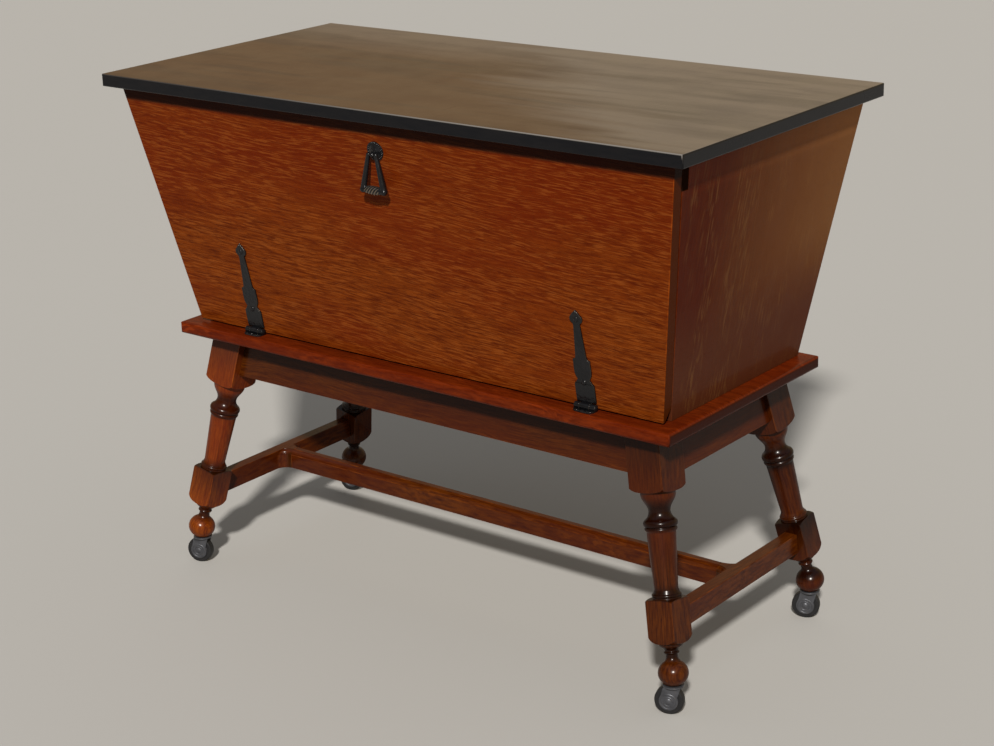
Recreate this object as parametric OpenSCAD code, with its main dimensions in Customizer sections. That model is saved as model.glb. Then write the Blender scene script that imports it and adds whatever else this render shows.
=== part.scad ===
// Fall-front dough bin on a stand of splayed turned legs with castors.
// Millimetres. X runs along the length, Y to the back and Z up.
// The origin is on the floor, under the middle of the top.

/* [Top board] */
// Length of the top board
top_len = 1000; // [900:5:1100]
// Depth of the top board, front to back
top_depth = 494; // [470:1:540]
// Thickness of the top board
top_th = 18.5; // [14:0.5:28]
// Radius worked on the edges of the top board
top_round = 2.5; // [1:0.5:5]

/* [Base board] */
// Length of the base board under the case
base_len = 882; // [860:1:920]
// Depth of the base board
base_depth = 381; // [370:1:410]
// Thickness of the base board
base_th = 19; // [15:0.5:25]
// Radius of the base board's rounded edges
base_round = 6; // [2:0.5:7]
// How far the base board and the case sit behind the middle of the top
case_back = 2.5; // [0:0.5:6]

/* [Case] */
// Height of the case between the base board and the top board
case_h = 362; // [300:1:420]
// Strip of base board that shows beside each side panel
side_reveal = 25; // [18:0.5:32]
// Strip of base board that shows in front of the fall front
front_reveal = 24.4; // [20:0.2:30]
// Strip of base board that shows behind the back panel
back_reveal = 18; // [12:0.5:24]
// Outward lean of the side panels, in degrees
side_lean = 9.6; // [6:0.1:11]
// Outward lean of the fall front, in degrees
front_lean = 10.3; // [7:0.1:11.5]
// Outward lean of the back panel, in degrees
back_lean = 9.5; // [6:0.1:11]
// Thickness of the side panels
side_th = 18; // [12:0.5:24]
// Thickness of the back panel
back_th = 12; // [6:0.5:18]
// Depth of the front rail under the top board
rail_th = 13; // [10:0.5:22]
// Height of the front rail
rail_h = 39; // [25:1:60]
// Width and height of the cleats in the case's corners
cleat = 20; // [12:1:30]

/* [Fall front] */
// Thickness of the fall front
flap_th = 17; // [13:0.5:24]
// Gap between the fall front and the case behind it
flap_gap = 1.5; // [0.8:0.1:3]
// Gap above the base board and below the top board
flap_end_gap = 3.2; // [2:0.1:6]
// Height of the bevel behind the fall front's lower edge
bevel_h = 18; // [14:0.5:26]
// Thickness that the bevel leaves at the fall front's lower edge
bevel_land = 3; // [1:0.5:6]

/* [Catches] */
// Distance of the magnetic catches from the middle
catch_x = 250; // [100:5:330]
// Length of a catch's housing
catch_len = 42; // [30:1:60]
// Depth and height of a catch's housing
catch_side = 12; // [9:1:16]
// Length of the steel plate opposite each catch
plate_len = 34; // [24:1:40]
// Height of the steel plate opposite each catch
plate_h = 10; // [7:1:12]

/* [Strap hinges] */
// Distance of each strap hinge from the middle
hinge_x = 299; // [200:1:340]
// Thickness of the strap
strap_th = 2.5; // [1.5:0.1:3]
// Length of the strap above the hinge pin
strap_len = 139; // [115:1:180]
// Half of the strap's width at its plate
strap_half = 15.5; // [13:0.5:18]
// Half of the strap's width at its waist, above the plate
waist_half = 9.8; // [8.4:0.2:10.6]
// Half of the strap's width at its bulge
bulge_half = 13.6; // [12.6:0.2:15]
// Half of the strap's width where its taper starts, above the bulge
taper_half = 8.6; // [7:0.2:9.6]
// Half of the strap's width at its narrow neck
neck_half = 5.2; // [4:0.2:6]
// Half of the strap's width at its leaf-shaped tip
leaf_half = 9.9; // [8.5:0.1:11]
// Radius of the hinge barrel
barrel_r = 4.8; // [4:0.1:5.5]
// Length of the whole barrel
barrel_len = 33; // [32:1:60]
// Length of the strap's own knuckle in the middle of the barrel
knuckle_len = 16; // [10:1:22]
// Radius of the hinge pin
pin_r = 2; // [1.5:0.1:2.6]
// Thickness of the foot leaf on the base board
foot_th = 2.2; // [1.5:0.1:2.8]
// Reach of the foot leaf in front of the hinge pin
foot_reach = 11.5; // [11:0.5:15]
// Radius of the nails' shanks
nail_r = 1.3; // [0.8:0.1:1.8]
// Radius of the nails' domed heads
nail_head_r = 4.2; // [2.6:0.1:4.6]
// Radius of the domed heads of the foot leaves' screws
screw_head_r = 2.4; // [1.8:0.1:2.6]
// Depth of the nails and screws in the wood
nail_deep = 9; // [6:0.5:12]

/* [Drop pull] */
// Height of the pull's rosette above the base board, along the fall front
pull_up = 326; // [150:1:335]
// Radius of the rosette
rosette_r = 13.5; // [12:0.5:16]
// Radius of the beads round the rosette
bead_r = 1.3; // [1:0.1:1.6]
// Distance from the rosette's middle down to the pivot
pivot_drop = 2.5; // [0:0.5:5]
// Distance from the fall front to the pull's pivot
pull_out = 8; // [7.8:0.1:10]
// Radius of the pull's pivot pins
pull_pin_r = 1.6; // [1.4:0.1:2]
// Distance from the pivot down to the grip bar
bail_drop = 48.5; // [42:0.5:60]
// Half of the width between the grip bar's ends
bail_half = 18; // [15:0.5:24]
// Radius of the bail's bars at the pivot
eye_r = 2.8; // [2.5:0.1:3.4]
// Radius of the bail's bars at the grip bar
bail_r = 4.5; // [3.8:0.1:5]
// Radius of the roped grip bar in its middle
grip_r = 6.5; // [5.4:0.1:7]
// Strands of the roped grip bar
strands = 5; // [4:1:7]
// Length in which a strand winds once round the grip bar
lay = 24; // [16:1:40]

/* [Stand] */
// Height of the base board's underside above the floor
stand_h = 378.5; // [333:0.5:433]
// Distance of the legs' tops from the ends of the base board
leg_in_x = 66.5; // [55:0.5:90]
// Distance of the legs' tops from the long edges of the base board
leg_in_y = 61; // [50:0.5:75]
// Splay of the legs along the length, in degrees
splay_x = 11.5; // [4:0.1:13]
// Splay of the legs from front to back, in degrees
splay_y = 8.8; // [4:0.1:10]
// Side of the square block at the top of a leg
cap_side = 54; // [49:1:64]
// Length of the leg's upper block down to the turning
cap_len = 86; // [74:1:100]
// Side of the square block that takes the stretchers
block_side = 42; // [38:1:50]
// Length of the lower block
block_len = 60; // [52:1:72]
// How far the lower block's middle lies above the middle of the stretchers
block_up = 3; // [0:0.5:8]
// Radius of the leg's shaft at its foot
shaft_r = 16; // [13:0.5:18]
// Radius of the leg's shaft at its head
shaft_head_r = 19.6; // [17:0.2:21]
// Radius of the ball foot
ball_r = 20.6; // [18:0.1:22.5]
// Half of the ball foot's height
ball_half = 18.4; // [16.5:0.1:20]
// Depth of the aprons under the base board
apron_h = 63.5; // [45:0.5:72]
// Thickness of the aprons
apron_th = 18; // [12:1:22]
// How far the long aprons lie behind the faces of the legs
apron_in_front = 13; // [4:0.5:18]
// How far the end aprons lie behind the faces of the legs
apron_in_side = 7; // [4:0.5:18]

/* [Stretchers] */
// Height of the stretchers' upper faces above the floor
rail_top = 140; // [132:1:149]
// Depth of the stretchers from their upper to their lower face
rail_deep = 30; // [22:1:34]
// Width of the end stretchers
end_rail_w = 19; // [15:0.5:26]
// Width of the long stretcher
long_rail_w = 24; // [18:1:30]
// Radius of the moulding along the long stretcher
ovolo_r = 6; // [3:0.5:8]
// Radius of the curved corners where the stretchers meet
corner_r = 17; // [10:1:30]

/* [Castors] */
// Diameter of the castor wheels
wheel_d = 40; // [34:1:43]
// Width of the castor wheels
wheel_w = 12; // [9:0.5:15]
// Diameter of the wheels' hubs, inside the tyres
hub_d = 26; // [20:0.5:30]
// Radius of the wheels' axles
axle_r = 2.5; // [1.5:0.1:3]
// Turn of the castors as the bin stands, in degrees
castor_turn = 20; // [0:5:45]
// Distance of the axle behind the swivel
trail = 5; // [3:0.5:10]
// Radius of the swivel stem
stem_r = 4; // [3:0.1:5]
// Length of the swivel stem
stem_len = 22; // [14:1:24]
// Radius of the cheeks that hold the axle
cheek_r = 13; // [9:0.5:15]
// Thickness of the sheet metal of the castors
sheet_th = 2; // [1.2:0.1:2.5]
// Radius of the rings pressed in the cheeks
ring_r = 0.8; // [0.4:0.1:1]

/* [Hidden] */
$fn = 48;

// Running clearance round a pin or a stem, on the radius
run_gap = 0.05;
// Gap beside a part that turns
turn_gap = 0.3;
// Larger than any size of the object, for cutting
big = 1500;

oak = "#9a5526";
oak_dark = "#6b4a33";
top_brown = "#3b2a22";
iron = "#2b2a2c";
steel = "#8d9096";
rubber = "#26272b";

// Levels
base_top = stand_h + base_th;
case_top = base_top + case_h;

// Outer planes of the case where it stands on the base board
side_x = base_len/2 - side_reveal;
front_y = -base_depth/2 + front_reveal;
back_y = base_depth/2 - back_reveal;
// The case's front edges lie behind the fall front and its gap
case_front_in = flap_th + flap_gap;

// Height of the catches' middle along the slope, just under the front rail
catch_s = (case_h - rail_h - case_front_in*sin(front_lean))/cos(front_lean) - catch_side/2;

// Hinge pin, in front of the fall front and above the base board
pin_up = barrel_r + turn_gap;
pin_out = barrel_r + turn_gap;
pin_s = (pin_up + pin_out*sin(front_lean))/cos(front_lean);
pin_y = front_y - pin_out*cos(front_lean) - pin_s*sin(front_lean);
strap_nails_up = [34, strap_len - 13];
foot_screws_x = [-barrel_len/4, 0, barrel_len/4];
foot_screw_y = foot_reach - screw_head_r - 0.8;

// Legs
leg_x = base_len/2 - leg_in_x;
leg_y = base_depth/2 - leg_in_y;
tilt_x = atan(tan(splay_y)*cos(splay_x));
leg_cos = cos(tilt_x)*cos(splay_x);
wheel_room = 1;
fork_top = wheel_d + wheel_room + sheet_th;
ball_base = fork_top + turn_gap;
ball_seat = 0.88*ball_half;
ball_z = ball_base + ball_seat;
leg_run = (stand_h - ball_z)/leg_cos;
ball_x = leg_x + (stand_h - ball_z)*tan(splay_x);
ball_y = leg_y + (stand_h - ball_z)*tan(splay_y);
cap_u = leg_run - cap_len;
cap_low_r = shaft_head_r + 4;
block_low_r = 17;
foot_neck_r = 8;
socket_r = stem_r + 2;
socket_len = stem_len + 2;

// Stretchers
rail_mid = rail_top - rail_deep/2;
rail_x = leg_x + (stand_h - rail_mid)*tan(splay_x);
rail_y = leg_y + (stand_h - rail_mid)*tan(splay_y);
block_u = (rail_mid + block_up - ball_z)/leg_cos - block_len/2;
end_rail_in = rail_x - end_rail_w/2;

// Drop pull
pivot_s = pull_up - pivot_drop;
pivot_y = front_y - pull_out*cos(front_lean) - pivot_s*sin(front_lean);
pivot_z = base_top - pull_out*sin(front_lean) + pivot_s*cos(front_lean);
post_r = 2.1*pull_pin_r;
// The balls at the ends of the bail's bars stand this proud of the bars
bail_knot = 0.4;
strand_deep = 0.07;
eye_x = post_r + turn_gap + eye_r + bail_knot/2;

// Points along an arc round [cx, cy], from angle a to angle b
function arc(cx, cy, r, a, b, n = 8) =
    [for (i = [0:n]) [cx + r*cos(a + (b - a)*i/n), cy + r*sin(a + (b - a)*i/n)]];

// Points along a half wave that leads from p to q and leaves both ends upright
function ogee(p, q, n = 6) =
    [for (i = [0:n]) [p[0] + (q[0] - p[0])*(1 - cos(180*i/n))/2, p[1] + (q[1] - p[1])*i/n]];

// A board with rounded edges, lying on z = 0 and centred on the axis
module rounded_board(length, depth, th, r, corner) {
    intersection() {
        linear_extrude(th) rounded_rect(length, depth, corner);
        rotate([90, 0, 0]) linear_extrude(depth + 1, center = true)
            translate([0, th/2]) rounded_rect(length, th, r);
        rotate([90, 0, 90]) linear_extrude(length + 1, center = true)
            translate([0, th/2]) rounded_rect(depth, th, r);
    }
}

module rounded_rect(a, b, r) {
    square([a - 2*r, b], center = true);
    square([a, b - 2*r], center = true);
    for (sx = [-1, 1], sy = [-1, 1])
        translate([sx*(a/2 - r), sy*(b/2 - r)]) circle(r);
}

// The frame of the case, which sits a little behind the middle of the top
module in_case() {
    translate([0, case_back, 0]) children();
}

// The frame of the fall front: x along it, z up its slope and y into the case
module on_front() {
    in_case() translate([0, front_y, base_top]) rotate([front_lean, 0, 0]) children();
}

// Everything deeper than d under the outer face of the side at sx
module inside_side(sx, d = 0) {
    translate([sx*side_x, 0, base_top]) rotate([0, sx*side_lean, 0])
        translate([-sx*(d + big/2), 0, 0]) cube(big, center = true);
}

// Everything deeper than d under the fall front's face
module inside_front(d = 0) {
    translate([0, front_y, base_top]) rotate([front_lean, 0, 0])
        translate([0, d + big/2, 0]) cube(big, center = true);
}

// Everything deeper than d under the back panel's face
module inside_back(d = 0) {
    translate([0, back_y, base_top]) rotate([-back_lean, 0, 0])
        translate([0, -d - big/2, 0]) cube(big, center = true);
}

// Everything between two levels
module between(z0, z1) {
    translate([-big/2, -big/2, z0]) cube([big, big, z1 - z0]);
}

// Top board
module top_board() {
    color(top_brown) translate([0, 0, case_top])
        rounded_board(top_len, top_depth, top_th, top_round, top_round + 1);
}

// Base board
module base_board() {
    color(oak) difference() {
        in_case() translate([0, 0, stand_h])
            rounded_board(base_len, base_depth, base_th, base_round, base_round);
        for (sx = [-1, 1], x = foot_screws_x) at_foot_screw(sx, x) foot_screw_hole(1);
    }
}

// Space of the front rail, from one outer face of the case to the other
module rail_space() {
    difference() {
        intersection() {
            between(case_top - rail_h, case_top);
            inside_front(case_front_in);
            inside_side(-1);
            inside_side(1);
        }
        inside_front(case_front_in + rail_th);
    }
}

// Front rail, let into the side panels so that its end grain shows
module front_rail() {
    color(oak_dark) in_case() rail_space();
}

// Side panel, notched at its front upper corner for the end of the front rail
module side_panel(sx) {
    color(oak_dark) in_case() difference() {
        intersection() {
            inside_side(sx);
            inside_front(case_front_in);
            inside_back();
            between(base_top, case_top);
        }
        inside_side(sx, side_th);
        rail_space();
    }
}

// Back panel, between the side panels
module back_panel() {
    color(oak_dark) in_case() difference() {
        intersection() {
            inside_back();
            inside_side(-1, side_th);
            inside_side(1, side_th);
            between(base_top, case_top);
        }
        inside_back(back_th);
    }
}

// Cleats along the side panels, between two levels
module cleats(z0, z1) {
    color(oak) in_case() for (sx = [-1, 1]) difference() {
        intersection() {
            inside_side(sx, side_th);
            inside_front(case_front_in + rail_th);
            inside_back(back_th);
            between(z0, z1);
        }
        inside_side(sx, side_th + cleat);
    }
}

// Cleats that the top board is screwed to
module top_cleats() {
    cleats(case_top - cleat, case_top);
}

// Cleats that hold the side panels to the base board
module floor_cleats() {
    cleats(base_top, base_top + cleat);
}

// Magnetic catches, screwed to the underside of the front rail
module catch_magnets() {
    color("#e8e6df") intersection() {
        on_front() for (sx = [-1, 1])
            translate([sx*catch_x - catch_len/2, case_front_in, catch_s - catch_side/2])
                cube([catch_len, catch_side, 2*catch_side]);
        between(base_top, case_top - rail_h);
    }
}

// Steel plates on the inside of the fall front, which the catches hold
module catch_plates() {
    color(steel) on_front() for (sx = [-1, 1])
        translate([sx*catch_x - plate_len/2, flap_th, catch_s - plate_h/2])
            cube([plate_len, flap_gap - turn_gap, plate_h]);
}

// Fall front, mitred to the lean of the sides and bevelled behind its lower edge
module fall_front() {
    bevel_rise = (bevel_h - flap_end_gap)/(flap_th - bevel_land);
    color(oak) difference() {
        in_case() intersection() {
            inside_front();
            inside_side(-1);
            inside_side(1);
            between(base_top + flap_end_gap, case_top - flap_end_gap);
        }
        in_case() inside_front(flap_th);
        on_front() rotate([90, 0, 90]) linear_extrude(big, center = true)
            polygon([[bevel_land, -flap_th], [flap_th + 1, -flap_th],
                     [flap_th + 1, bevel_h + bevel_rise], [bevel_land, flap_end_gap]]);
        for (sx = [-1, 1], up = strap_nails_up) at_strap(sx, up) nail_hole(0);
        on_front() translate([0, 0, pull_up]) rosette_shank();
    }
}

// A point on the fall front's face, above the pin of the strap hinge at sx
module at_strap(sx, up) {
    on_front() translate([sx*hinge_x, 0, pin_s + up]) children();
}

// Shank of a nail, or its hole, reaching outwards by out
module nail_hole(out) {
    rotate([90, 0, 0]) translate([0, 0, -nail_deep]) cylinder(r = nail_r, h = nail_deep + out);
}

// A low dome of radius r and height h on z = 0
module dome(r, h) {
    ball = (r*r + h*h)/(2*h);
    edge = asin(r/ball);
    rotate_extrude() polygon(concat([[0, 0]], arc(0, h - ball, ball, 90 - edge, 90)));
}

// Half of the strap's outline: plate, waist, bulge with a sharp ear, taper, neck and leaf
function strap_edge() = concat(
    [[strap_half, barrel_r + turn_gap], [strap_half, 27]],
    arc(strap_half - 4.5, 29, 4.5, 0, 70, 4),
    arc(waist_half + 2.6, 38.2, 2.6, 250, 140, 4),
    [[bulge_half - 1.2, 43.2], [bulge_half - 0.3, 46.5], [bulge_half, 51], [bulge_half, 57],
     [bulge_half - 0.3, 62], [bulge_half, 66.4], [taper_half + 1.6, 67.8], [taper_half, 71]],
    [[neck_half, strap_len - 22.5]],
    arc(leaf_half - 6.3, strap_len - 13, 6.3, -70, 55, 8),
    [[4.6, strap_len - 4.6], [0, strap_len]]
);

// Forged strap with the knuckle that turns on the hinge pin
module strap(sx) {
    edge = strap_edge();
    half = knuckle_len/2;
    color(iron) difference() {
        union() {
            at_strap(sx, 0) rotate([90, 0, 0]) linear_extrude(strap_th)
                polygon(concat([[half, 0]], [[half, barrel_r + turn_gap]], edge,
                               [for (i = [len(edge) - 2:-1:0]) [-edge[i][0], edge[i][1]]],
                               [[-half, barrel_r + turn_gap]], [[-half, 0]]));
            at_strap(sx, 0) translate([0, -pin_out, 0]) barrel(-half, half);
        }
        at_strap(sx, 0) translate([0, -pin_out, 0]) pin_space(pin_r + run_gap);
        for (up = strap_nails_up) at_strap(sx, up) nail_hole(strap_th + 1);
    }
}

// Hinge barrel between two places along the pin
module barrel(x0, x1) {
    translate([x0, 0, 0]) rotate([0, 90, 0]) cylinder(r = barrel_r, h = x1 - x0);
}

// Space of a hinge pin of radius r
module pin_space(r) {
    rotate([0, 90, 0]) cylinder(r = r, h = barrel_len + 10, center = true);
}

// Frame at the middle of a hinge pin
module at_pin(sx) {
    in_case() translate([sx*hinge_x, pin_y, base_top + pin_up]) children();
}

// Foot leaf on the base board, with the outer knuckles of the hinge
module hinge_foot(sx) {
    half = knuckle_len/2 + turn_gap;
    color(iron) difference() {
        union() {
            at_pin(sx) barrel(-barrel_len/2, -half);
            at_pin(sx) barrel(half, barrel_len/2);
            at_pin(sx) translate([0, 0, -pin_up]) intersection() {
                linear_extrude(foot_th) rounded_rect(barrel_len, 2*foot_reach, 0.7*foot_reach);
                translate([-barrel_len/2, -foot_reach, 0])
                    cube([barrel_len, foot_reach + 0.6*barrel_r, foot_th]);
            }
        }
        at_pin(sx) rotate([0, 90, 0]) cylinder(r = barrel_r + turn_gap, h = 2*half, center = true);
        at_pin(sx) pin_space(pin_r);
        for (x = foot_screws_x) at_foot_screw(sx, x) foot_screw_hole(foot_th + 1);
    }
}

// Frame of one screw of a foot leaf, on the base board
module at_foot_screw(sx, x) {
    at_pin(sx) translate([x, -foot_screw_y, -pin_up]) children();
}

// Hole of a foot screw, upwards by out
module foot_screw_hole(out) {
    translate([0, 0, -nail_deep]) cylinder(r = nail_r, h = nail_deep + out);
}

// Domed screws that hold the foot leaves down
module foot_screws() {
    color(iron) for (sx = [-1, 1], x = foot_screws_x) at_foot_screw(sx, x) {
        foot_screw_hole(foot_th);
        translate([0, 0, foot_th]) dome(screw_head_r, 1);
    }
}

// Hinge pins, riveted over with a low dome at each end
module hinge_pins() {
    color(iron) for (sx = [-1, 1]) at_pin(sx) {
        rotate([0, 90, 0]) cylinder(r = pin_r, h = barrel_len, center = true);
        for (side = [-1, 1])
            translate([side*barrel_len/2, 0, 0]) rotate([0, side*90, 0]) dome(barrel_r - 0.4, 1.8);
    }
}

// Nails of both straps
module strap_nails() {
    color(iron) for (sx = [-1, 1], up = strap_nails_up) at_strap(sx, up) {
        nail_hole(strap_th);
        translate([0, -strap_th, 0]) rotate([90, 0, 0]) dome(nail_head_r, 0.55*nail_head_r);
    }
}

// Shank that holds the rosette in the fall front
module rosette_shank() {
    rotate([-90, 0, 0]) cylinder(r = post_r - 1, h = nail_deep);
}

// Rosette with a beaded rim, and the post that carries the bail
module pull_rosette() {
    rim = 1.6;
    crown = 3.8;
    lip = 0.4;
    bead_at = rosette_r - bead_r - lip;
    beads = floor(2*PI*bead_at/(2.4*bead_r));
    color(iron) difference() {
        union() {
            on_front() translate([0, 0, pull_up]) rotate([90, 0, 0]) {
                rotate_extrude() polygon(concat([[0, 0], [rosette_r, 0], [rosette_r, rim]],
                                                ogee([bead_at - bead_r - lip, rim], [crown + 1.5, crown], 6),
                                                arc(0, -0.2, crown + 1.2, 50, 90, 5)));
                for (i = [1:beads]) rotate([0, 0, 360*i/beads]) translate([bead_at, 0, rim - lip])
                    sphere(bead_r, $fn = 24);
            }
            on_front() translate([0, 0, pull_up]) rosette_shank();
            on_front() translate([0, 0, pivot_s]) rotate([90, 0, 0]) cylinder(r = post_r, h = pull_out);
            on_front() translate([0, -pull_out, pivot_s]) sphere(post_r);
        }
        on_front() translate([0, -pull_out, pivot_s]) rotate([0, 90, 0])
            cylinder(r = pull_pin_r + run_gap, h = 6*post_r, center = true);
    }
}

// Ring of the roped bar at x, with its crests turned along the lay
function rope_ring(x, half, steps) = let (r = bail_r - 0.2 + (grip_r - bail_r + 0.2)*cos(90*x/half))
    [for (i = [0:steps - 1])
        let (a = 360*i/steps - 360*x/lay, lobe = r*(1 - strand_deep + strand_deep*cos(360*strands*i/steps)))
        [x, lobe*cos(a), lobe*sin(a)]];

// Roped bar along x, from -half to half, thickest in its middle
module roped_bar(half) {
    steps = 4*strands;
    rings = 24;
    points = [for (j = [0:rings]) each rope_ring(half*(2*j/rings - 1), half, steps)];
    polyhedron(points, concat(
        [[for (i = [0:steps - 1]) i]],
        [[for (i = [steps - 1:-1:0]) rings*steps + i]],
        [for (j = [0:rings - 1], i = [0:steps - 1]) let (a = j*steps + i, b = j*steps + (i + 1)%steps)
            each [[a, a + steps, b + steps], [a, b + steps, b]]]), convexity = 4);
}

// Bail of the drop pull: two bars hooked into the post, and a roped grip bar
module pull_bail() {
    bar_run = norm([bail_half - eye_x, bail_drop]);
    bar_lean = atan((bail_half - eye_x)/bail_drop);
    color(iron) in_case() translate([0, pivot_y, pivot_z]) {
        for (sx = [-1, 1]) {
            translate([sx*eye_x, 0, 0]) sphere(eye_r + bail_knot/2);
            translate([sx*(eye_x + 0.5)/2, 0, 0]) rotate([0, 90, 0])
                cylinder(r = pull_pin_r, h = eye_x - 0.5, center = true);
            translate([sx*eye_x, 0, 0]) rotate([180, -sx*bar_lean, 0])
                cylinder(r1 = eye_r, r2 = bail_r, h = bar_run);
            translate([sx*bail_half, 0, -bail_drop]) sphere(bail_r + bail_knot);
        }
        translate([0, 0, -bail_drop]) roped_bar(bail_half - 2*bail_knot);
    }
}

// Frame of one leg: the origin in its ball, z up along its axis
module in_leg(sx, sy) {
    in_case() mirror([sx < 0 ? 1 : 0, 0, 0]) mirror([0, sy < 0 ? 1 : 0, 0])
        translate([leg_x, leg_y, stand_h]) rotate([tilt_x, -splay_x, 0])
            translate([0, 0, -leg_run]) children();
}

// Square stock of side s along a leg's axis
module stock(s, u0, u1) {
    translate([-s/2, -s/2, u0]) cube([s, s, u1 - u0]);
}

// Square block whose corners are turned down to low_r below and to high_r above
module turned_block(s, u0, u1, low_r, low_h, high_r, high_h) {
    corner = 0.72*s;
    intersection() {
        stock(s, u0, u1);
        rotate_extrude() polygon(concat(
            [[0, u0]],
            [for (a = [0:15:90]) [low_r + (corner - low_r)*sin(a), u0 + low_h*(1 - cos(a))]],
            [for (a = [90:-15:0]) [high_r + (corner - high_r)*sin(a), u1 - high_h*(1 - cos(a))]],
            [[0, u1]]));
    }
}

// Outline of the foot: ball, flared neck, bead and cove up to the lower block
function foot_edge() = let (
        shoulder = 55,
        meet = 58,
        flare = (ball_r*cos(shoulder) - foot_neck_r)/(1 - cos(meet)),
        neck_z = ball_half*sin(shoulder) + flare*sin(meet)) concat(
    [[0, -ball_half]],
    [for (i = [0:16]) let (a = -84 + (shoulder + 84)*i/16) [ball_r*cos(a), ball_half*sin(a)]],
    arc(foot_neck_r + flare, neck_z, flare, 180 + 0.8*meet, 180, 4),
    [[foot_neck_r, neck_z + 3.8]],
    arc(foot_neck_r + 0.9, neck_z + 6, 1.6, -75, 80, 4),
    ogee([foot_neck_r + 1.3, neck_z + 8.2], [block_low_r, block_u - 1], 5),
    [[block_low_r, block_u + 1], [0, block_u + 1]]
);

// Outline of the turning between the blocks: bead, shaft, bead, belly, waist and cup
function shaft_edge() = let (b = block_u + block_len, c = cap_u, r = shaft_head_r) concat(
    [[0, b - 1], [shaft_r + 3.2, b - 1], [shaft_r + 3.2, b + 1.5]],
    arc(shaft_r + 1.4, b + 4.2, 2.5, -60, 70, 5),
    ogee([shaft_r + 1.6, b + 7], [shaft_r, b + 13], 4),
    [[r, c - 55]],
    arc(r - 1.4, c - 50.2, 3.6, -65, 65, 6),
    arc(r - 2.6, c - 42.8, 6, -32, 60, 8),
    arc(r + 8.9, c - 26.6, 13.9, 232, 186, 6),
    ogee([r - 5, c - 26.6], [cap_low_r, c - 4], 8),
    [[cap_low_r, c + 1], [0, c + 1]]
);

// Leg, turned from square stock in one piece
module leg(sx, sy) {
    color(oak) difference() {
        intersection() {
            in_leg(sx, sy) {
                rotate_extrude() polygon(foot_edge());
                turned_block(block_side, block_u, block_u + block_len, block_low_r, 14, 0.5*block_side, 5);
                rotate_extrude() polygon(shaft_edge());
                turned_block(cap_side, cap_u, leg_run + cap_side, cap_low_r, 10, 0.5*cap_side, 5);
            }
            between(ball_base, stand_h);
        }
        at_castor(sx, sy) translate([0, 0, ball_base]) cylinder(r = socket_r, h = socket_len);
    }
}

// Apron board in its plane: outer face on y = 0, down from z = 0
module apron_board(run) {
    translate([-run/2, 0, -2*apron_h]) cube([run, apron_th, 3*apron_h]);
}

// Long apron under the base board, on the front or the back
module long_apron(sy) {
    face = leg_y + cap_side/2/cos(splay_y) - apron_in_front;
    color(oak) difference() {
        in_case() intersection() {
            mirror([0, sy > 0 ? 1 : 0, 0]) translate([0, -face, stand_h]) rotate([-splay_y, 0, 0])
                apron_board(2*leg_x + 8);
            between(stand_h - apron_h, stand_h);
        }
        for (sx = [-1, 1]) in_leg(sx, sy) stock(cap_side, cap_u, leg_run + cap_side);
    }
}

// End apron under the base board
module end_apron(sx) {
    face = leg_x + cap_side/2/cos(splay_x) - apron_in_side;
    color(oak) difference() {
        in_case() intersection() {
            rotate([0, 0, sx*90]) translate([0, -face, stand_h]) rotate([-splay_x, 0, 0])
                apron_board(2*leg_y + 8);
            between(stand_h - apron_h, stand_h);
        }
        for (sy = [-1, 1]) in_leg(sx, sy) stock(cap_side, cap_u, leg_run + cap_side);
    }
}

// Edge of the moulding on one side: [how far in from the side, height]
function moulding() = concat(
    [[0, 0], [0, rail_deep - ovolo_r - 1], [1, rail_deep - ovolo_r - 1]],
    [for (p = arc(ovolo_r + 1, rail_deep - ovolo_r - 1, ovolo_r, 180, 90)) p],
    [[ovolo_r + 1, rail_deep]]
);

// Long bar with the moulding along both upper edges
module moulded_bar(x0, x1) {
    edge = moulding();
    half = long_rail_w/2;
    translate([x0, 0, rail_top - rail_deep]) rotate([90, 0, 90]) linear_extrude(x1 - x0)
        polygon(concat([for (p = edge) [half - p[0], p[1]]],
                       [for (i = [len(edge) - 1:-1:0]) [edge[i][0] - half, edge[i][1]]]));
}

// Round space beside the meeting stretchers, with the moulding round its upper edge
module corner_space() {
    translate([0, 0, rail_top - rail_deep]) rotate_extrude()
        polygon(concat([[0, -1], [corner_r, -1]], [for (p = moulding()) [corner_r + p[0], p[1]]],
                       [[corner_r + ovolo_r + 1, rail_deep + 1], [0, rail_deep + 1]]));
}

// Stretcher between a front and a back leg, shaped to meet the long stretcher
module end_stretcher(sx) {
    run = 2*rail_y - block_side/2;
    reach = long_rail_w/2 + corner_r;
    color(oak) difference() {
        in_case() mirror([sx < 0 ? 1 : 0, 0, 0]) {
            translate([end_rail_in, -run/2, rail_top - rail_deep]) cube([end_rail_w, run, rail_deep]);
            difference() {
                translate([end_rail_in - corner_r, -reach, rail_top - rail_deep])
                    cube([corner_r + 1, 2*reach, rail_deep]);
                for (sy = [-1, 1]) translate([end_rail_in - corner_r, sy*reach, 0]) corner_space();
            }
        }
        for (sy = [-1, 1]) in_leg(sx, sy) stock(block_side, block_u, block_u + block_len);
    }
}

// Long stretcher between the end stretchers
module long_stretcher() {
    color(oak) in_case() moulded_bar(corner_r - end_rail_in, end_rail_in - corner_r);
}

// Frame on the floor under one castor's swivel, turned as the castor stands
module at_castor(sx, sy) {
    in_case() translate([sx*ball_x, sy*ball_y, 0]) rotate([0, 0, castor_turn]) children();
}

// Sleeves in the ball feet that take the swivel stems
module castor_sockets() {
    color(steel) for (sx = [-1, 1], sy = [-1, 1]) at_castor(sx, sy)
        translate([0, 0, ball_base]) difference() {
            cylinder(r = socket_r, h = socket_len);
            translate([0, 0, -1]) cylinder(r = stem_r + run_gap, h = socket_len + 2);
        }
}

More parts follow.
